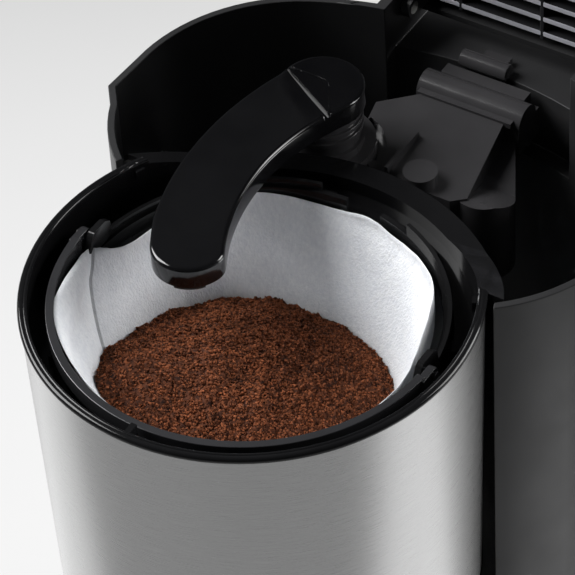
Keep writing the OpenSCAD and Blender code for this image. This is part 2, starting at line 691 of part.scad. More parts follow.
module riser_cover() color([0.15, 0.15, 0.16]) difference() {
    union() {
        translate([0, 0, cover_z - cover_h]) linear_extrude(cover_h) plate_plan();
        // bulge beside the plate, its top sloping up to the front
        intersection() {
            translate([0, 0, cover_z - cover_h]) linear_extrude(cover_h) bulge_plan();
            rotate([90, 0, 90]) linear_extrude(far) polygon([[0, cover_z - 60], [0, cover_z - 0.6],
                [bulge_c[1] - 7, cover_z - 0.8], [bulge_c[1] + 8, cover_z - 7.5], [bar_back, cover_z - 8.5],
                [bar_back, cover_z - 60]]);
        }
        // bar along the back
        translate([bar_x, bar_front + bar_r, cover_z + 4 - bar_r]) rotate([0, 90, 0]) cylinder(r = bar_r, h = bar_w);
        translate([bar_x, bar_front, cover_z - 14]) cube([bar_w, 2.4 * bar_r, 18 - bar_r]);
        translate([bar_x + 4, bar_back - 5, cover_z - 14]) cube([bar_w - 8, 5, 16]);
        translate([bar_x + 1.5, bar_front - 1.6, cover_z - 1]) cube([bar_w - 4, 4, 2]);
        // neck, flange and hub
        translate([pivot_x, pivot_y, cover_z - 7.4]) rotate([0, 90, 22]) cylinder(r = 7.4, h = 26);
        translate([pivot_x, pivot_y, cover_z - 2]) cylinder(r = hub_r + 4, h = 5);
        translate([pivot_x, pivot_y, cover_z - 24]) cylinder(r = hub_r, h = hub_top - cover_z + 24);
        // gusset and boss on the plate
        translate([-3.6, plate_front + 3, cover_z - 1]) rotate([90, 0, 93]) linear_extrude(1.3)
            polygon([[0, 0], [24, 0], [23, 3.4], [0, 5.4]]);
        translate([bulge_c[0] - 20, plate_front + 6.6, cover_z - 10]) cylinder(r = 6, h = 15);
    }
    // way of the water
    translate([pivot_x, pivot_y, cover_z - 26]) cylinder(r = riser_r + 0.1, h = hub_top - cover_z + 24);
    translate([pivot_x, pivot_y, hub_top - 4]) cylinder(r = 8.1, h = 10);
    // slot round the flange
    translate([pivot_x, pivot_y, cover_z - 4]) intersection() {
        ring(hub_r + 7.4, hub_r + 4.1, 10);
        linear_extrude(far) arc_wedge(5, 72, hub_r + 12);
    }
    difference() {
        translate([0, 0, cover_z - cover_h - 6]) cylinder(r = ledge_r + clear, h = cover_h + 26);
        translate([pivot_x, pivot_y, 0]) cylinder(r = hub_r + 1, h = far);
    }
}

clip_r = 3.2;
module riser_clip() color([0.13, 0.13, 0.14]) difference() {
    union() {
        // round grip over the ledge's edge and its foot
        translate([-9, recess_r + 0.5, recess_z + 1.8]) rotate([0, 90, 0]) cylinder(r = clip_r, h = 18.5);
        translate([-3, recess_r, recess_z]) cube([10, 7.5, 2.6]);
    }
    // the ledge
    translate([-20, recess_r - 0.6, recess_z - 10]) cube([40, 20, 10]);
}

collar_top = arm_z - clear;
spigot_r = 6;
module pivot_collar() color([0.1, 0.1, 0.11]) translate([pivot_x, pivot_y, 0]) difference() {
    union() {
        translate([0, 0, hub_top]) cylinder(r = hub_r - 1.2, h = collar_top - hub_top);
        for (k = [0:2]) translate([0, 0, collar_top - 2 - 3.4 * k]) cylinder(r = hub_r, h = 1.8);
        translate([0, 0, hub_top - 3.9]) cylinder(r = 8, h = 5);
    }
    translate([0, 0, hub_top - 5]) cylinder(r = spigot_r, h = 60);
}

belly = pivot + [-8.3, -41.6];     // middle of the arm where it bows most
out_c = belly + [bow_out_r - arm_w / 2, 1.7];
in_c = belly + [bow_in_r + arm_w / 2, -2];
tip_c = belly + [12, -45.5];
tip_turn = -60;                    // heading of the tip
pivot_end = 15;
cap_t = 1.3;
module arm_bow(d = 0) difference() {
    intersection() {
        translate(out_c) circle(r = bow_out_r - d, $fn = 360);
        polygon([belly + [-20, 3 - 45.5], belly + [40, 3 - 45.5], pivot + [30, -10], pivot + [-30, 3.6]]);
    }
    translate(in_c) circle(r = bow_in_r + d, $fn = 360);
}
module arm_plan(d = 0) {
    arm_bow(d);
    translate(pivot) circle(r = pivot_end - d);
    translate(tip_c) circle(r = arm_w / 2 - d);
    polygon([belly + [-4.7 + d, -42.5], tip_c + (arm_w / 2 - d) * [cos(216), sin(216)], tip_c, belly + [10, -42.5]]);
}
// the pivot's end of the arm, behind the cap's seam
module cap_side() translate(pivot + [0, -7]) rotate(-30) translate([-40, 0]) square([80, 40]);
module spout_arm() color([0.08, 0.08, 0.09]) difference() {
    union() {
        translate([0, 0, arm_z]) linear_extrude(arm_h) arm_plan();
        // spigot that turns in the collar
        translate([pivot_x, pivot_y, hub_top - 2]) cylinder(r = spigot_r - run, h = arm_z - hub_top + 3);
        // lip under the tip
        translate([tip_c[0], tip_c[1], arm_z - 0.8]) rotate([0, 0, tip_turn]) intersection() {
            ring(arm_w / 2 - 0.2, arm_w / 2 - 2.4, 1);
            translate([0, -9, 0]) cube([20, 18, 3]);
        }
    }
    // water way
    translate([pivot_x, pivot_y, hub_top - 3]) cylinder(r = 4, h = arm_z - hub_top + 6);
    translate([0, 0, arm_z + 1.8]) linear_extrude(arm_h - 4.4) intersection() {
        arm_bow(shell_wall);
        translate(belly + [-40, -38]) square([80, 74]);
    }
    // outlets and the two notches under the tip
    for (y = [-7, 0, 7]) translate([tip_c[0], tip_c[1], arm_z - 1]) rotate([0, 0, tip_turn]) translate([-6, y, 0])
        cylinder(r = 1.6, h = 4);
    for (a = [-26, 26]) translate([tip_c[0], tip_c[1], arm_z - 2]) rotate([0, 0, tip_turn + a])
        translate([8, -1, 0]) cube([9, 2, 3.6]);
    // seat of the cap
    translate([0, 0, arm_top - cap_t]) linear_extrude(4) cap_side();
}

module arm_cap() color([0.1, 0.1, 0.11]) translate([0, 0, arm_top - cap_t]) linear_extrude(cap_t)
    intersection() {
        arm_plan();
        translate([0, 0.1]) cap_side();
    }

// ---------- lid, standing open ----------

tongue_half = recess_half - 0.6;
module lid_plan(d = 0) {
    housing_plan(d);
    circle(r = drum_r - d);
    translate([recess_x - tongue_half + d, 60]) square([2 * (tongue_half - d), tongue_y - 60 - d]);
}
module crown(d = 0) translate([0, 40, lid_gap + crown_h - crown_r]) rotate([0, 90, 0])
    cylinder(r = crown_r - d, h = far, center = true, $fn = 360);

// places a closed lid piece, drawn with the rim at z = 0, in the open position
module lid_open() translate([0, hinge_y, hinge_z]) rotate([-90, 0, 0]) translate([0, -hinge_y, hinge_drop]) children();

ear_w = 3.4;
ear_r = 4;
module lid_shell() color([0.12, 0.12, 0.13]) lid_open() difference() {
    union() {
        difference() {
            intersection() {
                translate([0, 0, lid_gap]) linear_extrude(40) lid_plan();
                crown();
            }
            intersection() {
                translate([0, 0, -1]) linear_extrude(40) lid_plan(lid_wall);
                crown(lid_wall);
            }
        }
        for (s = [-1, 1]) translate([recess_x + s * (tongue_half - ear_w / 2), 0, 0]) rotate([90, 0, 90])
            linear_extrude(ear_w, center = true) union() {
                translate([hinge_y, -hinge_drop]) circle(r = ear_r);
                polygon([[hinge_y - ear_r, -hinge_drop], [hinge_y - ear_r, lid_gap + 3],
                    [hinge_y + ear_r, lid_gap + 3], [hinge_y + ear_r, -hinge_drop]]);
            }
    }
    translate([0, hinge_y, -hinge_drop]) rotate([0, 90, 0]) cylinder(r = hinge_pin_r + run, h = far, center = true);
}

slat_pitch = 6.6;
slat_t = 2.1;
slat_count = 6;
grille_y0 = tongue_y - 6;
module lid_grille() color([0.2, 0.2, 0.21]) lid_open() intersection() {
    w = 2 * (tongue_half - ear_w - 0.4);
    y1 = grille_y0 - slat_count * slat_pitch;
    union() {
        for (i = [0:slat_count - 1]) translate([recess_x - w / 2, grille_y0 - i * slat_pitch - slat_t, lid_gap + 0.6])
            cube([w, slat_t, 5]);
        for (x = [recess_x - w / 2, -17, 15.4, recess_x + w / 2 - 1.6]) translate([x, y1, lid_gap + 0.6])
            cube([1.6, grille_y0 - y1 + 1.5, 30]);
    }
    crown(lid_wall + 0.05);
}

module hinge_pins() color([0.7, 0.7, 0.72])
    for (s = [-1, 1]) translate([recess_x + s * (recess_half + cheek / 2 - 2), hinge_y, hinge_z]) rotate([0, 90, 0])
        cylinder(r = hinge_pin_r, h = cheek + 4, center = true);

// ---------- carafe ----------

glass_z = plate_z + clear;
lid_top = drum_z - 5.2;
glass_h = lid_top - carafe_lid_h - clear - glass_z;
function glass_profile(d) = [
    for (a = [-90:10:0]) [glass_r - 12 + (12 - d) * cos(a), 12 + (12 - d) * sin(a)],
    for (i = [1:12]) let(t = i / 12) [neck_r - d + (glass_r - neck_r) * (0.5 + 0.5 * cos(180 * t)), 12 + t * (glass_h - 34)],
    [neck_r - d, glass_h - 8], [neck_r - d + 1.4, glass_h]];
module carafe_glass() color([0.85, 0.9, 0.92, 0.4]) translate([0, 0, glass_z]) rotate_extrude() difference() {
    polygon(concat([[0, 0]], glass_profile(0), [[0, glass_h]]));
    polygon(concat([[0, glass_t]], glass_profile(glass_t), [[neck_r - glass_t + 1.6, glass_h + 1], [0, glass_h + 1]]));
}

band_z = glass_z + glass_h - 20;
band_h = 12;
module carafe_band() color([0.78, 0.78, 0.8]) translate([0, 0, band_z]) difference() {
    union() {
        cylinder(r = neck_r + 1.3, h = band_h);
        translate([-8, -neck_r - 7, 0]) cube([16, 8, band_h]);
    }
    translate([0, 0, -1]) cylinder(r = neck_r + 0.05, h = band_h + 2);
    translate([0, -neck_r - 3, band_h / 2]) rotate([90, 0, 0]) cylinder(r = 1.6, h = 20, center = true);
}

grip_w = 19;
grip_t = 15;
grip_bend = 16;
grip_len = 92;
module carafe_handle() color([0.1, 0.1, 0.11]) {
    y0 = -neck_r - 7;
    y1 = -glass_r - handle_reach;
    z1 = band_z + band_h + 6;
    z0 = z1 - grip_len;
    difference() {
        translate([-grip_w / 2, 0, 0]) rotate([90, 0, 90]) linear_extrude(grip_w) difference() {
            union() {
                polygon([[y0, band_z], [y0, z1 - 2], [y0 - 4, z1], [y1 + grip_bend, z1],
                    [y1 + grip_bend, z1 - grip_bend], [y0 - 10, band_z]]);
                translate([y1 + grip_bend, z1 - grip_bend]) circle(r = grip_bend);
                translate([y1, z0]) square([grip_t, grip_len - grip_bend]);
                translate([y1 + grip_t / 2, z0]) circle(r = grip_t / 2);
            }
            polygon([[y0 - 4, band_z - 0.1], [y0 - 14, z1 - 14], [y1 + grip_t + 2, z1 - 14], [y1 + grip_t, z1 - 18],
                [y1 + grip_t, z0 - 38], [y0 + 20, z0 - 38]]);
        }
        translate([0, y0 + 1, band_z + band_h / 2]) rotate([90, 0, 0]) cylinder(r = 1.55, h = 14);
    }
}

module handle_screw() color([0.7, 0.7, 0.72]) translate([0, -neck_r - 1.6, band_z + band_h / 2]) rotate([90, 0, 0]) {
    cylinder(r = 1.5, h = 14);
}

lid_foot = lid_top - carafe_lid_h;
module carafe_lid() color([0.1, 0.1, 0.11]) difference() {
    union() {
        translate([0, 0, lid_foot]) rotate_extrude() polygon([[0, 0], [neck_r + 2.4, 0], [neck_r + 3, 1.5],
            [neck_r + 1, lid_top - lid_foot - 5], [neck_r - 4, lid_top - lid_foot], [0, lid_top - lid_foot]]);
        translate([0, 0, lid_foot - 10]) ring(neck_r - glass_t - 0.4, neck_r - glass_t - 3, 11);
        // pouring lip and thumb rest
        translate([-9, neck_r - 4, lid_foot]) cube([18, 10, 4]);
    }
    translate([0, 0, lid_foot - 1]) cylinder(r = neck_r - 8, h = lid_top - lid_foot - 2);
    translate([0, 0, lid_top - 2.2]) cylinder(r1 = 12, r2 = 18, h = 2.3);
    for (a = [0:60:300]) rotate([0, 0, a]) translate([7, 0, lid_top - 10]) cylinder(r = 1.6, h = 20);
}

base_shell();
bottom_plate();
base_screws();
rubber_feet();
hot_plate();
plate_seal();
heater();
cold_hose();
check_valve();
hot_hose();
cord_inlet();
switch_bezel();
switch_rocker();
rocker_pin();
column_housing();
water_gauge();
gauge_float();
tank_strainer();
steel_skin();
drum_liner();
drum_ring();
filter_basket();
drip_valve();
valve_washer();
valve_spring();
basket_bail();
bail_pins();
paper_filter();
ground_coffee();
riser_tube();
riser_cover();
riser_clip();
pivot_collar();
spout_arm();
arm_cap();
lid_shell();
lid_grille();
hinge_pins();
carafe_glass();
carafe_band();
carafe_handle();
handle_screw();
carafe_lid();
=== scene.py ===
"""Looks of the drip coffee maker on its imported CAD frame: materials, own pieces, light and camera."""
import math
import random

import bpy
from mathutils import Matrix, Vector, noise


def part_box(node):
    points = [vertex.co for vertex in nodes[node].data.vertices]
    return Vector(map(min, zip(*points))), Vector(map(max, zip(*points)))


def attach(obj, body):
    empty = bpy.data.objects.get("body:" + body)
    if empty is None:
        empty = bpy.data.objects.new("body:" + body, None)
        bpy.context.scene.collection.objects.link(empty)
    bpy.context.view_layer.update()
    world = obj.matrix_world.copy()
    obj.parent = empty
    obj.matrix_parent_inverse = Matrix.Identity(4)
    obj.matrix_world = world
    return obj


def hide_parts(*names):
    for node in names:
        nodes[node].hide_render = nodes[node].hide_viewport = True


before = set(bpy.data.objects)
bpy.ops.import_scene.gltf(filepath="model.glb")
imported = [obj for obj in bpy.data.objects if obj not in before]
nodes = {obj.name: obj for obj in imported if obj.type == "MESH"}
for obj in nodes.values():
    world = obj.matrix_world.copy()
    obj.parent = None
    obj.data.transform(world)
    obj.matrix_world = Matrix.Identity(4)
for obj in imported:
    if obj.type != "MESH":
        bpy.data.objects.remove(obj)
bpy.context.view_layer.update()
MM = 0.001

# ---------------------------------------------------------------- materials


class Mat:
    """A node material with short calls for the nodes it uses."""

    def __init__(self, name, color, rough, **sockets):
        self.m = bpy.data.materials.new(name)
        self.m.use_nodes = True
        self.t = self.m.node_tree
        self.b = self.t.nodes["Principled BSDF"]
        self.set("Base Color", (*color, 1))
        self.set("Roughness", rough)
        for key, value in sockets.items():
            self.set(key.replace("_", " "), value)
        self.coord = self.t.nodes.new("ShaderNodeTexCoord").outputs["Object"]

    def set(self, key, value):
        self.b.inputs[key].default_value = value

    def link(self, a, b):
        self.t.links.new(a, b)

    def node(self, kind, **values):
        """A new node; each value is a property of it or an input."""
        n = self.t.nodes.new("ShaderNode" + kind)
        for key, value in values.items():
            if hasattr(n, key):
                setattr(n, key, value)
            else:
                n.inputs[key.replace("_", " ")].default_value = value
        return n

    def math(self, operation, *values):
        """The result of a Math node; each value is a socket or a number."""
        n = self.node("Math", operation=operation)
        for socket, value in zip(n.inputs, values):
            if isinstance(value, bpy.types.NodeSocket):
                self.link(value, socket)
            else:
                socket.default_value = value
        return n.outputs[0]

    def blend(self, a, share_a, b, share_b):
        """The weighted sum of two sockets."""
        return self.math("MULTIPLY_ADD", a, share_a, self.math("MULTIPLY", b, share_b))

    def noise(self, scale, detail=3, rough=0.5, vector=None, stretch=None):
        """Fractal noise over the object, or over vector, finer along an axis by its stretch."""
        vector = vector or self.coord
        if stretch:
            m = self.node("Mapping", Scale=stretch)
            self.link(vector, m.inputs["Vector"])
            vector = m.outputs["Vector"]
        n = self.node("TexNoise", Scale=scale, Detail=detail, Roughness=rough)
        self.link(vector, n.inputs["Vector"])
        return n.outputs["Fac"]

    def cells(self, scale):
        """Voronoi cells over the object: their colours and distances."""
        n = self.node("TexVoronoi", Scale=scale)
        self.link(self.coord, n.inputs["Vector"])
        return n.outputs

    def color(self, fac, low, high, a=0.35, b=0.65):
        """The base colour goes from low to high as fac goes from a to b."""
        n = self.node("ValToRGB")
        for stop, place, tone in zip(n.color_ramp.elements, (a, b), (low, high)):
            stop.position = place
            stop.color = (*tone, 1)
        self.link(fac, n.inputs["Fac"])
        self.link(n.outputs["Color"], self.b.inputs["Base Color"])

    def darken(self, attribute, share):
        """The base colour goes down where the piece's named point value is high."""
        value = self.node("Attribute", attribute_name=attribute).outputs["Fac"]
        tone = self.node("VectorMath", operation="SCALE")
        self.link(self.b.inputs["Base Color"].links[0].from_socket, tone.inputs[0])
        self.link(self.math("MULTIPLY_ADD", value, -share, 1.0), tone.inputs["Scale"])
        self.link(tone.outputs[0], self.b.inputs["Base Color"])

    def rough(self, fac, low, high):
        """The roughness goes from low to high over the middle of fac."""
        n = self.node("MapRange")
        self.link(fac, n.inputs["Value"])
        for key, value in (("From Min", 0.35), ("From Max", 0.65), ("To Min", low), ("To Max", high)):
            n.inputs[key].default_value = value
        self.link(n.outputs["Result"], self.b.inputs["Roughness"])

    def bump(self, *layers):
        """Each layer is (height, strength, distance in metres)."""
        normal = None
        for height, strength, distance in layers:
            n = self.node("Bump", Strength=strength, Distance=distance)
            self.link(height, n.inputs["Height"])
            if normal:
                self.link(normal, n.inputs["Normal"])
            normal = n.outputs["Normal"]
        self.link(normal, self.b.inputs["Normal"])


def plastic(name, color, rough, grain, grain_scale, smudge, wave=0.12, spec=0.5):
    """Moulded plastic: fine grain, slight waviness and faint smudges in the gloss."""
    m = Mat(name, color, rough)
    m.set("Specular IOR Level", spec)
    fine = m.noise(grain_scale, 2)
    wide = m.noise(34, 3)
    smear = m.noise(90, 4, 0.6)
    m.rough(smear, rough - smudge, rough + smudge)
    m.color(wide, tuple(c * 0.9 for c in color), tuple(c * 1.12 + 0.001 for c in color))
    m.bump((wide, wave, 0.0006), (fine, grain, 0.00006))
    return m.m


def gloss(name, color, rough, grain=0.03, grain_scale=2400, smudge=0.03, wave=0.03, spec=0.5):
    """Moulded plastic from a polished mould."""
    return plastic(name, color, rough, grain, grain_scale, smudge, wave, spec)


def steel(name, base, rough, aniso):
    """Brushed steel: fine lines that run round the +Z axis, each a few centimetres long."""
    m = Mat(name, (base, base, base * 1.005), rough, Metallic=1.0, Anisotropic=aniso)
    xyz = m.node("SeparateXYZ")
    m.link(m.coord, xyz.inputs[0])
    around = m.node("CombineXYZ")
    m.link(m.math("ARCTAN2", xyz.outputs["X"], m.math("MULTIPLY", xyz.outputs["Y"], -1)), around.inputs["X"])
    m.link(xyz.outputs["Z"], around.inputs["Z"])
    lines = m.noise(1.0, 2, 0.6, around.outputs[0], (6.0, 1, 4200))
    m.color(lines, (base * 0.94,) * 3, (base * 1.05,) * 3)
    m.rough(lines, rough - 0.01, rough + 0.01)
    m.bump((lines, 0.05, 0.00002), (m.noise(14, 2), 0.002, 0.0004))
    tangent = m.node("Tangent", direction_type="RADIAL", axis="Z")
    m.link(tangent.outputs[0], m.b.inputs["Tangent"])
    return m.m


def metal(name, color, rough):
    """Plain drawn or plated metal with a cloudy gloss."""
    m = Mat(name, color, rough, Metallic=1.0)
    cloud = m.noise(160, 3)
    m.rough(cloud, rough - 0.06, rough + 0.08)
    m.color(cloud, tuple(c * 0.9 for c in color), tuple(min(1, c * 1.06) for c in color))
    m.bump((m.noise(1400, 2), 0.1, 0.00004))
    return m.m


def coated(name):
    """Black non-stick coating with pale specks."""
    m = Mat(name, (0.02, 0.02, 0.02), 0.5)
    speck = m.noise(900, 2)
    m.color(speck, (0.013, 0.013, 0.013), (0.035, 0.035, 0.035), 0.5, 0.75)
    m.rough(speck, 0.42, 0.56)
    m.bump((m.noise(3000, 2), 0.3, 0.00006))
    return m.m


def glass(name, color, rough=0.02):
    """Clear glass or plastic, slightly wavy."""
    m = Mat(name, color, rough, IOR=1.47, Transmission_Weight=1.0)
    wave = m.noise(30, 2)
    m.rough(wave, rough, rough + 0.02)
    m.bump((wave, 0.05, 0.0006))
    return m.m


def paper(name):
    """Filter paper: soft fibres, a crepe of fine upright wrinkles, a little light passing through."""
    m = Mat(name, (0.9, 0.905, 0.92), 0.75, Specular_IOR_Level=0.25, Subsurface_Weight=0.25,
            Subsurface_Radius=(0.001, 0.001, 0.001), Subsurface_Scale=0.3)
    fibre = m.noise(1.0, 5, 0.7, None, (800, 800, 300))
    cloud = m.noise(60, 4, 0.6)
    crepe = m.noise(1.0, 3, 0.6, None, (1500, 1500, 900))
    m.color(m.blend(fibre, 0.7, cloud, 0.3), (0.79, 0.815, 0.86), (0.93, 0.95, 0.975), 0.36, 0.64)
    # painted shade: darker along the crease's fold and on the doubled paper behind it
    m.darken("painted_fold_shade", 0.6)
    m.bump((crepe, 1.0, 0.0004), (fibre, 0.5, 0.0002), (cloud, 0.15, 0.0008))
    return m.m


def coffee(name, dark, light, single=False):
    """Roast coffee. With single, each loose grain has its own tone."""
    m = Mat(name, light, 0.8, Specular_IOR_Level=0.2)
    cell, small = m.cells(900.0), m.cells(1500.0)
    patch = m.noise(120, 4, 0.6)
    if single:
        tone = m.node("NewGeometry").outputs["Random Per Island"]
    else:
        split = m.node("SeparateColor")
        m.link(cell["Color"], split.inputs[0])
        tone = split.outputs[0]
    m.color(m.blend(patch, 0.5, tone, 0.5), dark, light, 0.15, 0.85)
    m.bump((patch, 0.4, 0.0008), (cell["Distance"], -0.8, 0.0007), (small["Distance"], -0.6, 0.0004))
    return m.m


M = {
    "housing": plastic("housing_satin_black", (0.027, 0.027, 0.028), 0.36, 0.3, 3200, 0.04, spec=0.2),
    "inner": plastic("moulded_black_inner", (0.008, 0.008, 0.008), 0.3, 0.2, 2600, 0.05),
    "liner": gloss("liner_black", (0.0065, 0.0065, 0.007), 0.11, spec=0.28),
    "basket": gloss("basket_black", (0.009, 0.009, 0.0095), 0.13, spec=0.3),
    "bail": gloss("bail_black", (0.026, 0.026, 0.028), 0.2, grain=0.05, smudge=0.04),
    "arm": gloss("arm_gloss_black", (0.0035, 0.0035, 0.004), 0.1, grain=0.02, grain_scale=2200, wave=0.01),
    "cover": gloss("cover_gloss_black", (0.038, 0.037, 0.039), 0.17, grain=0.02, grain_scale=2200, wave=0.02),
    "lid_in": gloss("lid_inner_black", (0.02, 0.02, 0.022), 0.16, grain=0.04, smudge=0.04),
    # painted light: pale slat fronts stand for the bright background seen through the lid's vents
    "slat_painted_light": gloss("slats_painted_light", (0.55, 0.55, 0.6), 0.3, grain=0.04, smudge=0.04),
    "white": plastic("natural_white_plastic", (0.72, 0.72, 0.69), 0.4, 0.1, 2000, 0.05),
    "red": plastic("red_plastic", (0.5, 0.03, 0.02), 0.3, 0.06, 2000, 0.05),
    "rubber": plastic("black_rubber", (0.018, 0.018, 0.018), 0.7, 0.4, 1800, 0.06),
    "silicone": plastic("silicone", (0.66, 0.65, 0.6), 0.45, 0.1, 1500, 0.06),
    "steel": steel("brushed_steel_drum", 0.31, 0.28, 0.8),
    "band": steel("steel_band", 0.6, 0.2, 0.5),
    "zinc": metal("zinc_steel", (0.6, 0.6, 0.57), 0.3),
    "aluminium": metal("drawn_aluminium", (0.68, 0.68, 0.69), 0.38),
    "plate": coated("non_stick_black"),
    "glass": glass("carafe_glass", (0.96, 0.985, 0.98)),
    "clear": glass("gauge_clear", (0.9, 0.95, 0.97), 0.06),
    "paper": paper("filter_paper"),
    "coffee": coffee("ground_coffee", (0.01, 0.003, 0.0015), (0.15, 0.047, 0.02)),
    "grains": coffee("coffee_grains", (0.016, 0.0045, 0.002), (0.34, 0.105, 0.04), single=True),
}

LOOK = {
    "base_shell": "housing", "bottom_plate": "housing", "base_screws": "zinc", "rubber_feet": "rubber",
    "hot_plate": "plate", "plate_seal": "silicone", "heater": "aluminium", "cold_hose": "silicone",
    "check_valve": "white", "hot_hose": "silicone", "cord_inlet": "rubber", "switch_bezel": "cover",
    "switch_rocker": "liner", "rocker_pin": "zinc", "column_housing": "housing", "water_gauge": "clear",
    "gauge_float": "red", "tank_strainer": "inner", "steel_skin": "steel", "drum_liner": "liner",
    "drum_ring": "liner", "filter_basket": "basket", "drip_valve": "basket", "valve_washer": "silicone",
    "valve_spring": "zinc", "basket_bail": "bail", "bail_pins": "bail", "paper_filter": "paper",
    "ground_coffee": "coffee", "riser_tube": "silicone", "riser_cover": "cover", "riser_clip": "cover",
    "pivot_collar": "cover", "spout_arm": "arm", "arm_cap": "arm", "lid_shell": "housing",
    "lid_grille": "lid_in", "hinge_pins": "zinc", "carafe_glass": "glass", "carafe_band": "band",
    "carafe_handle": "housing", "handle_screw": "zinc", "carafe_lid": "housing",
}
# rounding of the moulded and pressed edges, in millimetres
BEVEL = {
    "base_shell": 1.2, "column_housing": 0.5, "drum_liner": 0.35, "filter_basket": 0.35, "basket_bail": 1.5,
    "riser_cover": 0.9, "riser_clip": 0.5, "pivot_collar": 0.4, "lid_shell": 0.8, "lid_grille": 0.3,
    "carafe_handle": 2.0, "carafe_lid": 0.8, "switch_bezel": 0.5, "switch_rocker": 0.4, "drum_ring": 0.3,
    "spout_arm": 0.5, "hot_plate": 0.3, "carafe_band": 0.4, "steel_skin": 0.15, "bottom_plate": 0.4,
}
OTHER_BEVEL = 0.15
SHARP = math.radians(28)       # edges with a larger angle are rounded
GLOSSY = ("drum_liner", "filter_basket", "basket_bail", "riser_cover", "riser_clip", "pivot_collar",
          "lid_grille")
WELD = 0.002                   # vertices this close are one


def dress(name, obj):
    """Material, smooth shading and rounded edges of one CAD node."""
    mesh = obj.data
    mesh.materials.clear()
    mesh.materials.append(M[LOOK[name]])
    for attribute in [a for a in mesh.attributes if a.name == "custom_normal"]:
        mesh.attributes.remove(attribute)
    mesh.polygons.foreach_set("use_smooth", [True] * len(mesh.polygons))
    weld = obj.modifiers.new("weld", "WELD")
    weld.merge_threshold = WELD * MM
    bevel = obj.modifiers.new("edges", "BEVEL")
    bevel.width = BEVEL.get(name, OTHER_BEVEL) * MM
    bevel.segments = 3 if name in GLOSSY else 2
    bevel.limit_method = "ANGLE"
    bevel.angle_limit = SHARP
    bevel.harden_normals = True
    bevel.use_clamp_overlap = True


for node_name, node_obj in nodes.items():
    dress(node_name, node_obj)

# the fronts of the grille's slats carry painted light, pale for the bright background seen through the vents;
# its ribs stay black: a rib's front is narrower than a slat's
RIB_MAX = 4 * MM
FACES_FRONT = -0.7
grille = nodes["lid_grille"].data
grille.materials.append(M["slat_painted_light"])
for face in grille.polygons:
    across = [grille.vertices[v].co.x for v in face.vertices]
    face.material_index = 1 if max(across) - min(across) > RIB_MAX and face.normal.y < FACES_FRONT else 0

# ---------------------------------------------------------------- own pieces


def piece(name, verts, faces, look, body, stands_for=()):
    """A mesh in millimetres that rides on a body and may stand for CAD nodes."""
    mesh = bpy.data.meshes.new(name)
    mesh.from_pydata([Vector(v) * MM for v in verts], [], faces)
    mesh.validate()
    mesh.polygons.foreach_set("use_smooth", [True] * len(mesh.polygons))
    mesh.materials.append(M[look])
    obj = bpy.data.objects.new(name, mesh)
    bpy.context.scene.collection.objects.link(obj)
    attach(obj, body)
    if stands_for:
        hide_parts(*stands_for)
    return obj


def box_mm(node):
    """The node's lowest and highest corner in millimetres."""
    low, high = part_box(node)
    return Vector(low) / MM, Vector(high) / MM


def round_point(centre, radius, turn, z):
    """A point at that height on the circle round centre."""
    return centre.x + radius * math.cos(turn), centre.y + radius * math.sin(turn), z


def grid_faces(rows, cols, start=0):
    """Quads between rows rings of cols points each."""
    return [(start + r * cols + c, start + r * cols + (c + 1) % cols,
             start + (r + 1) * cols + (c + 1) % cols, start + (r + 1) * cols + c)
            for r in range(rows - 1) for c in range(cols)]


def arc(centre, radius, start, end, pitch=0.9):
    """Points on an arc, angles in degrees."""
    count = max(2, round(abs(math.radians(end - start)) * radius / pitch))
    turns = [math.radians(start + (end - start) * i / count) for i in range(count + 1)]
    return [Vector(round_point(centre, radius, turn, 0)[:2]) for turn in turns]


def even(points, pitch, smooth=6):
    """A closed outline with even pitch, its corners softened."""
    ring = points + points[:1]
    lengths = [0.0]
    for a, b in zip(ring, ring[1:]):
        lengths.append(lengths[-1] + (b - a).length)
    count = int(lengths[-1] / pitch)
    out, k = [], 0
    for i in range(count):
        s = lengths[-1] * i / count
        while lengths[k + 1] < s:
            k += 1
        t = (s - lengths[k]) / max(1e-9, lengths[k + 1] - lengths[k])
        out.append(ring[k].lerp(ring[k + 1], t))
    for _ in range(smooth):
        out = [(out[i - 1] + 2 * out[i] + out[(i + 1) % count]) / 4 for i in range(count)]
    return out


def inset(points, d, share=None):
    """The outline moved inwards by d along its normals, by only a share of d where share says so."""
    n = len(points)
    out = []
    for i in range(n):
        along = (points[(i + 1) % n] - points[i - 1]).normalized()
        out.append(points[i] + Vector((-along.y, along.x)) * d * (share[i] if share else 1))
    return out


EDGE_STEPS = 5       # rings in a slab's rounded edge
EDGE_LAND = 0.5      # flat ring that follows the upper edge
TOP_RINGS = 6        # rings of a slab's dished or crowned top


def slab(points, z0, z1, low_edge, high_edge, share=None, sink=None):
    """A plate with that outline and rounded lower and upper edges. sink says how far its top lies lower."""
    turns = [math.pi / 2 * i / EDGE_STEPS for i in range(EDGE_STEPS + 1)]
    rings = [(low_edge * (1 - math.sin(a)), z0 + low_edge * (1 - math.cos(a))) for a in turns]
    rings += [(high_edge * (1 - math.cos(a)), z1 - high_edge * (1 - math.sin(a))) for a in turns]
    rings.append((high_edge + EDGE_LAND, z1))
    verts = [(p.x, p.y, z) for d, z in rings for p in inset(points, d, share)]
    count = len(points)
    faces = grid_faces(len(rings), count)
    faces.append(tuple(reversed(range(count))))
    base = len(verts) - count
    if not sink:
        faces.append(tuple(range(base, base + count)))
        return verts, faces
    middle = sum(points, Vector((0, 0))) / count
    inner = [Vector(v[:2]) for v in verts[-count:]]
    for k in range(1, TOP_RINGS):
        verts += [(*p.lerp(middle, k / TOP_RINGS), z1) for p in inner]
    faces += grid_faces(TOP_RINGS, count, start=base)
    verts.append((middle.x, middle.y, z1))
    ring = base + (TOP_RINGS - 1) * count
    faces += [(ring + i, ring + (i + 1) % count, len(verts) - 1) for i in range(count)]
    return [(x, y, z - sink(x, y) if 2 * z > z0 + z1 else z) for x, y, z in verts], faces


def joined(*parts):
    """Several (verts, faces) as one."""
    verts, faces = [], []
    for v, f in parts:
        start = len(verts)
        verts += v
        faces += [tuple(i + start for i in face) for face in f]
    return verts, faces


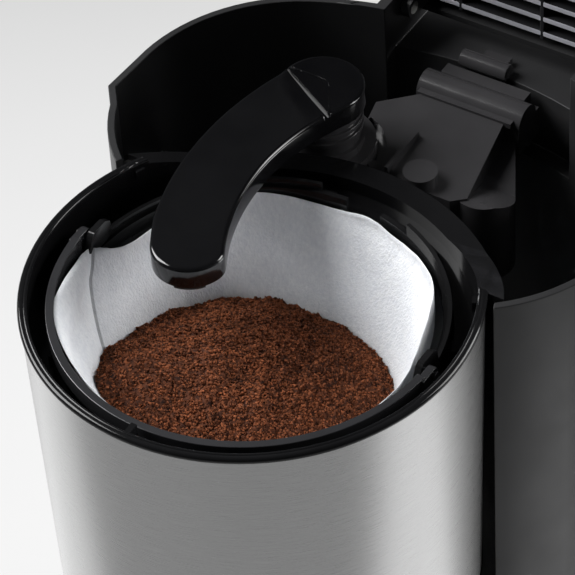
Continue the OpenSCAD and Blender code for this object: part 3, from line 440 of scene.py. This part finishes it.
# ---- spout arm and its cap: one smooth bowed form, cut by the cap's seam
ARM_W, ARM_H, CAP_T = 26.2, 8.5, 1.3
PIVOT_END, BOW_OUT, BOW_IN = 15.0, 120.0, 84.0       # radii of the outline's round end and its two flanks
ARM_PITCH = 0.8
LOW_ROUND, TOP_ROUND, CAP_ROUND = 0.6, 1.3, 1.2      # rounded edges of the body, its top and the cap
SEAM_EDGE = 0.04      # share of the rounding at the seam, where the edges are almost sharp
SEAM_GAP = 0.08       # half of the seam's width
CROWN, CROWN_R = 0.12, 13.6
LIP_TURN, LIP_HALF, LIP_STEPS = -60, 24, 16          # the lip under the tip, in degrees
LIP_OUT, LIP_IN, LIP_DROP = -0.5, -2.6, 0.8
SPIGOT_BORE, SPIGOT_R, SPIGOT_L, SPIGOT_STEPS = 4.2, 5.9, 14, 48

collar_low, collar_high = box_mm("pivot_collar")
pivot = Vector(((collar_low.x + collar_high.x) / 2, (collar_low.y + collar_high.y) / 2))
arm_top = box_mm("arm_cap")[1].z
arm_low = arm_top - ARM_H
arm_part = arm_top - CAP_T
belly = pivot + Vector((-8.3, -41.6))
out_c = belly + Vector((BOW_OUT - ARM_W / 2, 1.7))
in_c = belly + Vector((BOW_IN + ARM_W / 2, -2))
tip_c = belly + Vector((12, -45.5))
arm_line = even(arc(pivot, PIVOT_END, -26, 180) + arc(out_c, BOW_OUT, 161, 201.5)
                + arc(tip_c, ARM_W / 2, 214, 358) + arc(in_c, BOW_IN, 210.5, 154), ARM_PITCH)
seam_at, seam_turn = pivot + Vector((0, -7)), math.radians(-30)
seam_n = Vector((-math.sin(seam_turn), math.cos(seam_turn)))


def part_of(line, sign):
    """The stretch of the outline on one side of the seam, closed along it, and each point's edge share."""
    keep = [(p - seam_at).dot(seam_n) * sign > SEAM_GAP for p in line]
    start = next(i for i in range(len(line)) if keep[i] and not keep[i - 1])
    run = []
    while keep[start % len(line)]:
        run.append(line[start % len(line)])
        start += 1
    count = max(2, round((run[0] - run[-1]).length / ARM_PITCH))
    cut = [run[-1].lerp(run[0], i / count) for i in range(1, count)]
    return run + cut, [1.0] * len(run) + [SEAM_EDGE] * len(cut)


def cap_sink(x, y):
    """The cap is crowned a little over the pivot."""
    return CROWN * min(1, ((x - pivot.x) ** 2 + (y - pivot.y) ** 2) / CROWN_R ** 2)


def tip_lip():
    """The low lip round the underside of the tip."""
    verts = []
    for i in range(LIP_STEPS + 1):
        a = math.radians(LIP_TURN - LIP_HALF + 2 * LIP_HALF * i / LIP_STEPS)
        for r, z in ((LIP_OUT, 0), (LIP_OUT, -LIP_DROP), (LIP_IN, -LIP_DROP), (LIP_IN, 0)):
            verts.append(round_point(tip_c, ARM_W / 2 + r, a, arm_low + z))
    end = 4 * LIP_STEPS
    return verts, grid_faces(LIP_STEPS + 1, 4) + [(3, 2, 1, 0), (end, end + 1, end + 2, end + 3)]


def pivot_spigot():
    """The hollow spigot that turns in the collar."""
    n = SPIGOT_STEPS
    verts = []
    for r, z in ((SPIGOT_BORE, arm_low - SPIGOT_L), (SPIGOT_R, arm_low - SPIGOT_L),
                 (SPIGOT_R, arm_low + 1), (SPIGOT_BORE, arm_low + 1)):
        verts += [round_point(pivot, r, 2 * math.pi * i / n, z) for i in range(n)]
    bore = [(3 * n + i, 3 * n + (i + 1) % n, (i + 1) % n, i) for i in range(n)]
    return verts, grid_faces(4, n) + bore


(front_line, front_share), (back_line, back_share) = part_of(arm_line, -1), part_of(arm_line, 1)
lower = slab(arm_line, arm_low, arm_part, LOW_ROUND, 0.02)
upper = slab(front_line, arm_part - 0.01, arm_top, 0.01, TOP_ROUND, front_share)
cap_plate = slab(back_line, arm_part + 0.02, arm_top, 0.02, CAP_ROUND, back_share, cap_sink)
piece("arm_body", *joined(lower, upper, tip_lip(), pivot_spigot()), "arm", "arm", ["spout_arm"])
piece("arm_cap_cover", *cap_plate, "arm", "arm", ["arm_cap"])

# ---- paper filter: a cone cup with a folded crease at its left and a loose, wavy mouth
basket_low, basket_high = box_mm("ground_coffee")
paper_low, paper_high = box_mm("paper_filter")
RIM_Z = box_mm("drum_liner")[1].z
PAPER_FOOT_R, PAPER_SLOT = 12.0, 20.0                # round ends of the flat foot, and half its straight part
PAPER_TOP_R = (paper_high.x - paper_low.x) / 2
cone_top = paper_high.z - 4
CREASE = -178.5
# mouth of the paper: angle, depth under the drum's rim, reach of the edge from the axis
MOUTH = [(CREASE, 8.4, 62.2), (-170, 7.4, 62.9), (-160, 5.0, 63.3), (-148, 4.3, 63.3), (-134, 5.2, 62.8),
         (-118, 9, 60.6), (-60, 9.5, 60), (-20, 8.5, 60), (-9, 7.6, 59.4), (0, 9.5, 57.4), (10, 7.5, 56),
         (26, 7.4, 56), (40, 9.6, 58), (70, 15.5, 59), (78, 15, 59), (82, 13.7, 59.4), (89, 15.9, 59),
         (94, 16.9, 59), (104.5, 16.1, 59.2), (114, 14.5, 59.4), (123.5, 13.6, 59.4), (145, 13.8, 59.4),
         (157, 14.2, 59.2), (165, 14.3, 58.6), (171, 13.4, 58.8), (176.5, 11.2, 59.6), (180.3, 9.8, 61.2),
         (360 + CREASE, 8.4, 62.2)]
MOUTH_EASE = (-5, -2.5, 0, 2.5, 5)                   # degrees over which the mouth is eased
FOLD = (14.0, 20.0)        # half the width of the flats in front of the crease and behind it, in degrees
LIFT, LIFT_SPAN = 0.8, 16  # how far the fold's edge stands off, and over how many degrees
# the crease wanders by 0.72 degrees per mm, from 9 mm under the rim for 40 mm, fading over 45 degrees
WANDER, WANDER_FROM, WANDER_DEPTH, WANDER_SPAN = 0.72, 9, 40, 45
WAVES, RIPPLES = 0.8, 0.3  # how far the loose paper stands off at most
SEAM_PAINTED_SHADOW, SEAM_SPAN = 0.75, 0.3                     # the fold's dark line, a painted shadow: tone, and width in degrees
DOUBLED_PAINTED_SHADE, DOUBLED_SPAN = 0.3, 12                 # painted shade on the doubled paper behind the fold, fading out
CLEAR = 0.5                # the paper's distance from the basket
PLAIN_EDGE = 59.4          # reach of an edge that leans neither in nor out
BENT = 9                   # the outward lean fades over this depth
P_COLS, P_ROWS = 400, 48
CROWDED = 1.25             # the columns stand closer together at the crease
PAPER_THICK = 0.22


def cone_reach(turn, z):
    """Distance from the axis to the paper at that angle and height."""
    t = min(1.0, max(0.0, (cone_top - z) / (cone_top - paper_low.z)))
    radius = PAPER_TOP_R * (1 - t) + PAPER_FOOT_R * t
    half = PAPER_SLOT * t
    c, s = math.cos(turn), math.sin(turn)
    # along a ray: the straight flank, or the round end
    if abs(s) > 1e-6 and abs(radius / s * c) <= half:
        return radius / abs(s)
    b = half * abs(c)
    return b + math.sqrt(max(0.0, b * b - half * half + radius * radius))


def mouth(deg):
    """Drop and reach of the edge at that angle, eased over a few degrees."""
    found = []
    for d in MOUTH_EASE:
        d = (deg + d - CREASE) % 360 + CREASE
        a, b = next(pair for pair in zip(MOUTH, MOUTH[1:]) if pair[1][0] >= d)
        t = (d - a[0]) / (b[0] - a[0])
        found.append((a[1] + (b[1] - a[1]) * t, a[2] + (b[2] - a[2]) * t))
    return sum(f[0] for f in found) / len(found), sum(f[1] for f in found) / len(found)


def paper_waves(turn, z):
    """How far the loose paper stands off: wide waves and fine ripples."""
    c, s = math.cos(turn), math.sin(turn)
    soft = noise.noise(Vector((c * 2.2, s * 2.2, z * 0.03)))
    ripple = noise.noise(Vector((c * 7, s * 7, z * 0.05 + 9)))
    return WAVES * max(0, soft) + RIPPLES * abs(ripple)


def paper_point(from_crease, t):
    """A point of the cup; the crease at its left wanders towards the front as it goes down."""
    drop, edge = mouth(CREASE + from_crease)
    top = RIM_Z - drop
    z = top + (paper_low.z + 1 - top) * t
    turned = from_crease if from_crease < 180 else from_crease - 360
    depth = min(WANDER_DEPTH, max(0, RIM_Z - WANDER_FROM - z))
    turn = math.radians(CREASE + from_crease + WANDER * depth * math.exp(-(turned / WANDER_SPAN) ** 2))
    half = FOLD[0] if turned >= 0 else FOLD[1]
    flat = 1
    if abs(turned) < 2 * half:
        flat = math.cos(math.radians(half)) / math.cos(math.radians(abs(turned) - half))
    reach = (cone_reach(turn, z) - CLEAR) * flat
    if -LIFT_SPAN < turned < 0:
        reach -= LIFT * (1 + turned / LIFT_SPAN) ** 1.5
    reach -= paper_waves(turn, z) * (1 - t) ** 0.6
    lean = min(0, edge - PLAIN_EDGE)
    reach += (edge - PLAIN_EDGE - lean) * max(0, 1 - (top - z) / BENT) ** 2 + lean * (1 - t) ** 2.2
    return round_point(Vector((0, 0)), reach, turn, z)


def painted_crease_shade(from_crease):
    """Painted shade at the crease: a painted shadow line along the fold, and painted shade on the doubled
    paper behind it that fades out.
    """
    back = 360 - from_crease
    if back < SEAM_SPAN or back == 360:
        return SEAM_PAINTED_SHADOW
    return DOUBLED_PAINTED_SHADE * math.exp(-back / DOUBLED_SPAN)


places = [2 * c / P_COLS - 1 for c in range(P_COLS)]
columns = [180 + 180 * math.copysign(1 - (1 - abs(u)) ** CROWDED, u) for u in places]
sheet_verts = [paper_point(a, r / (P_ROWS - 1)) for r in range(P_ROWS) for a in columns]
foot = (P_ROWS - 1) * P_COLS
foot_faces = [(foot + c, foot + c + 1, foot + P_COLS - 2 - c, foot + P_COLS - 1 - c)
              for c in range(P_COLS // 2 - 1)]
filter_cup = piece("filter_cup", sheet_verts, grid_faces(P_ROWS, P_COLS) + foot_faces,
                   "paper", "machine", ["paper_filter"])
# painted shade along the crease, which the paper material reads
painted_fold_shade = filter_cup.data.attributes.new("painted_fold_shade", "FLOAT", "POINT")
for v, a in enumerate(columns * P_ROWS):
    painted_fold_shade.data[v].value = painted_crease_shade(a)
thick = filter_cup.modifiers.new("thickness", "SOLIDIFY")
thick.thickness = PAPER_THICK * MM
thick.offset = 0

# ---- ground coffee: a loose mound and single grains
MOUND_C, MOUND_R = Vector((-4, -8)), 87.0
HEAP_AT, HEAP_R, HEAP_H = Vector((-40, -42)), 34.0, 15.0      # the coffee is heaped up at the front left
LUMPS, LUMP_FREQ = 1.5, 0.11
CRUMBS, CRUMB_FREQ = 0.8, 0.5
SETTLED = 0.9              # the mound's top lies this much under the CAD solid's
MOUND_CLEAR = 1.3          # distance of the mound's edge from the paper
C_COLS, C_ROWS = 300, 90
FOOT_X, FOOT_Y, FOOT_Z = 0.45, 0.35, 4               # the mound's foot: shares of its edge, and its height
GRAINS = 16000
GRAIN_SIZE = (0.2, 0.5)
GRAIN_LIFT = 0.45          # share of a grain's size by which it stands out of the mound
GRAIN_EDGE = 0.2           # the grains keep this far inside the mound's edge
GRAIN = [(1, 1, 1), (1, -1, -1), (-1, 1, -1), (-1, -1, 1), (1.2, -0.2, 0.3), (-0.3, 1.1, 0.4)]
GRAIN_FACES = [(0, 5, 4), (0, 3, 5), (0, 4, 3), (4, 5, 1), (1, 5, 2), (2, 5, 3), (3, 4, 1), (1, 2, 3)]


def mound_z(x, y):
    """Height of the mound: a flat dome, the heap, lumps and crumbs."""
    d = math.hypot(x - MOUND_C.x, y - MOUND_C.y)
    base = basket_high.z + math.sqrt(max(1.0, MOUND_R ** 2 - d * d)) - MOUND_R
    heap = HEAP_H * math.exp(-((x - HEAP_AT.x) ** 2 + (y - HEAP_AT.y) ** 2) / HEAP_R ** 2)
    lump = LUMPS * noise.fractal(Vector((x, y, 3)) * LUMP_FREQ, 1.0, 2.0, 4)
    crumbs = CRUMBS * noise.fractal(Vector((x, y, 8)) * CRUMB_FREQ, 0.7, 2.0, 4)
    return base + heap + lump + crumbs - SETTLED


def mound_edge(turn):
    """Distance from the axis at which the mound meets the paper."""
    low, high = 10.0, 60.0
    for _ in range(24):
        r = (low + high) / 2
        if r < cone_reach(turn, mound_z(r * math.cos(turn), r * math.sin(turn))) - MOUND_CLEAR:
            low = r
        else:
            high = r
    return low


edges = [mound_edge(2 * math.pi * c / C_COLS) for c in range(C_COLS)]
top_verts = []
for row in range(C_ROWS):
    for col in range(C_COLS):
        turn, reach = 2 * math.pi * col / C_COLS, edges[col] * (1 - row / C_ROWS)
        x, y = reach * math.cos(turn), reach * math.sin(turn)
        top_verts.append((x, y, mound_z(x, y)))
foot_verts = [(x * FOOT_X, y * FOOT_Y, basket_low.z + FOOT_Z) for x, y, z in top_verts[:C_COLS]]
mound_verts = foot_verts + top_verts + [(0, 0, mound_z(0, 0))]
last, peak = C_ROWS * C_COLS, len(mound_verts) - 1
mound_faces = grid_faces(C_ROWS + 1, C_COLS)
mound_faces += [(last + c, last + (c + 1) % C_COLS, peak) for c in range(C_COLS)]
mound_faces.append(tuple(reversed(range(C_COLS))))
piece("coffee_mound", mound_verts, mound_faces, "coffee", "machine", ["ground_coffee"])

rng = random.Random(7)
grain_verts, grain_faces = [], []
for _ in range(GRAINS):
    turn = rng.uniform(0, 2 * math.pi)
    share = math.sqrt(rng.random())
    reach = share * (edges[int(turn / (2 * math.pi) * C_COLS) % C_COLS] - GRAIN_EDGE)
    x, y = reach * math.cos(turn), reach * math.sin(turn)
    size = rng.uniform(*GRAIN_SIZE)
    spin_turn = rng.uniform(0, 6.28)
    spin_axis = Vector((rng.uniform(-1, 1), rng.uniform(-1, 1), 0.3)).normalized()
    spin = Matrix.Rotation(spin_turn, 3, spin_axis)
    start = len(grain_verts)
    for v in GRAIN:
        w = spin @ (Vector(v) * size * rng.uniform(0.7, 1.15))
        grain_verts.append((x + w.x, y + w.y, mound_z(x, y) + size * GRAIN_LIFT + w.z))
    grain_faces += [tuple(i + start for i in f) for f in GRAIN_FACES]
piece("coffee_grains", grain_verts, grain_faces, "grains", "machine")

# ---------------------------------------------------------------- stage, light and camera
FLOOR_LEVEL, FLOOR_LEAST = 0.965, 0.4                # the floor's glow, a painted pool of light round the machine: its strength near the machine and far from it
FLOOR_FALL, FLOOR_NEAR = 1.95, 0.2                   # how fast the painted light fades, from which distance
SEEN_SHARE, MIRRORED_SHARE = 0.76, 0.15              # shares of that painted glow for the camera and in reflections
FLOOR_SIZE, FLOOR_DROP = 14, 0.0005                  # in metres
SKY_COLOR, SKY_LIGHT = (0.95, 0.97, 1.0), 0.05


def area(name, size, place, aim, power):
    """A square lamp at that place, aimed at a point."""
    light = bpy.data.lights.new(name, "AREA")
    light.shape = "SQUARE"
    light.size = size
    light.energy = power
    obj = bpy.data.objects.new(name, light)
    bpy.context.scene.collection.objects.link(obj)
    obj.location = place
    obj.rotation_euler = (Vector(aim) - Vector(place)).to_track_quat("-Z", "Y").to_euler()
    return obj


def pale_floor():
    """A white sweep whose glow is a painted pool of light that fades a little with the distance; it keeps the
    shadows in part.
    """
    m = Mat("pale_floor", (0.5, 0.5, 0.5), 0.9)
    m.color(m.noise(5, 3), (0.49, 0.49, 0.49), (0.52, 0.52, 0.52))
    away = m.node("VectorMath", operation="LENGTH")
    m.link(m.coord, away.inputs[0])
    beyond = m.math("MAXIMUM", m.math("SUBTRACT", away.outputs["Value"], FLOOR_NEAR), 0.0)
    fall = m.math("MULTIPLY", m.math("POWER", beyond, 2.0), -FLOOR_FALL)
    glow = m.node("Emission", Color=(1, 1, 1, 1))
    m.link(m.math("MAXIMUM", m.math("ADD", fall, FLOOR_LEVEL), FLOOR_LEAST), glow.inputs["Strength"])
    path = m.node("LightPath").outputs
    seen = m.math("MULTIPLY", path["Is Camera Ray"], SEEN_SHARE)
    mirrored = m.math("MAXIMUM", path["Is Glossy Ray"], path["Is Transmission Ray"])
    mix = m.node("MixShader")
    m.link(m.math("MAXIMUM", seen, m.math("MULTIPLY", mirrored, MIRRORED_SHARE)), mix.inputs[0])
    m.link(m.b.outputs[0], mix.inputs[1])
    m.link(glow.outputs[0], mix.inputs[2])
    m.link(mix.outputs[0], m.t.nodes["Material Output"].inputs["Surface"])
    return m.m


bpy.ops.mesh.primitive_plane_add(size=FLOOR_SIZE, location=(0, 0, -FLOOR_DROP))
floor = bpy.context.object
floor.name = "floor"
floor.data.materials.append(pale_floor())

world = bpy.data.worlds.new("studio")
bpy.context.scene.world = world
world.use_nodes = True
sky = world.node_tree.nodes["Background"].inputs
sky["Color"].default_value = (*SKY_COLOR, 1)
sky["Strength"].default_value = SKY_LIGHT

area("softbox_key", 1.1, (-1.2, -0.15, 1.35), (0, 0, 0.3), 46)
area("softbox_back_right", 0.8, (1.0, 0.9, 0.8), (0, 0, 0.25), 20)
# low cards beside the drum, for the steel's bright flanks
for card in (area("card_left", 0.15, (-0.2, -0.05, 0.12), (-0.06, -0.04, 0.25), 0.065),
             area("card_right", 0.15, (0.19, 0.045, 0.1), (0.075, -0.012, 0.25), 0.11)):
    card.visible_transmission = False      # not seen through the carafe

# the camera looks down on the drum from its front right
CAM_AT, CAM_LENS, CAM_SENSOR = (0.44443, -0.62595, 1.07161), 209.42, 36
CAM_TURN, CAM_TILT, CAM_ROLL = math.radians(34.5266), math.radians(43.981), math.radians(-3.8635)
fwd = Vector((-math.sin(CAM_TURN) * math.cos(CAM_TILT), math.cos(CAM_TURN) * math.cos(CAM_TILT),
              -math.sin(CAM_TILT)))
right = Vector((math.cos(CAM_TURN), math.sin(CAM_TURN), 0))
up = right.cross(fwd)
cam_x = right * math.cos(CAM_ROLL) + up * math.sin(CAM_ROLL)
cam_y = -right * math.sin(CAM_ROLL) + up * math.cos(CAM_ROLL)
cam_data = bpy.data.cameras.new("camera")
cam_data.sensor_width = CAM_SENSOR
cam_data.lens = CAM_LENS
cam_data.clip_start = 0.05
camera = bpy.data.objects.new("camera", cam_data)
bpy.context.scene.collection.objects.link(camera)
camera.matrix_world = Matrix.Translation(CAM_AT) @ Matrix((cam_x, cam_y, -fwd)).transposed().to_4x4()
bpy.context.scene.camera = camera
bpy.context.scene.view_settings.view_transform = "Standard"
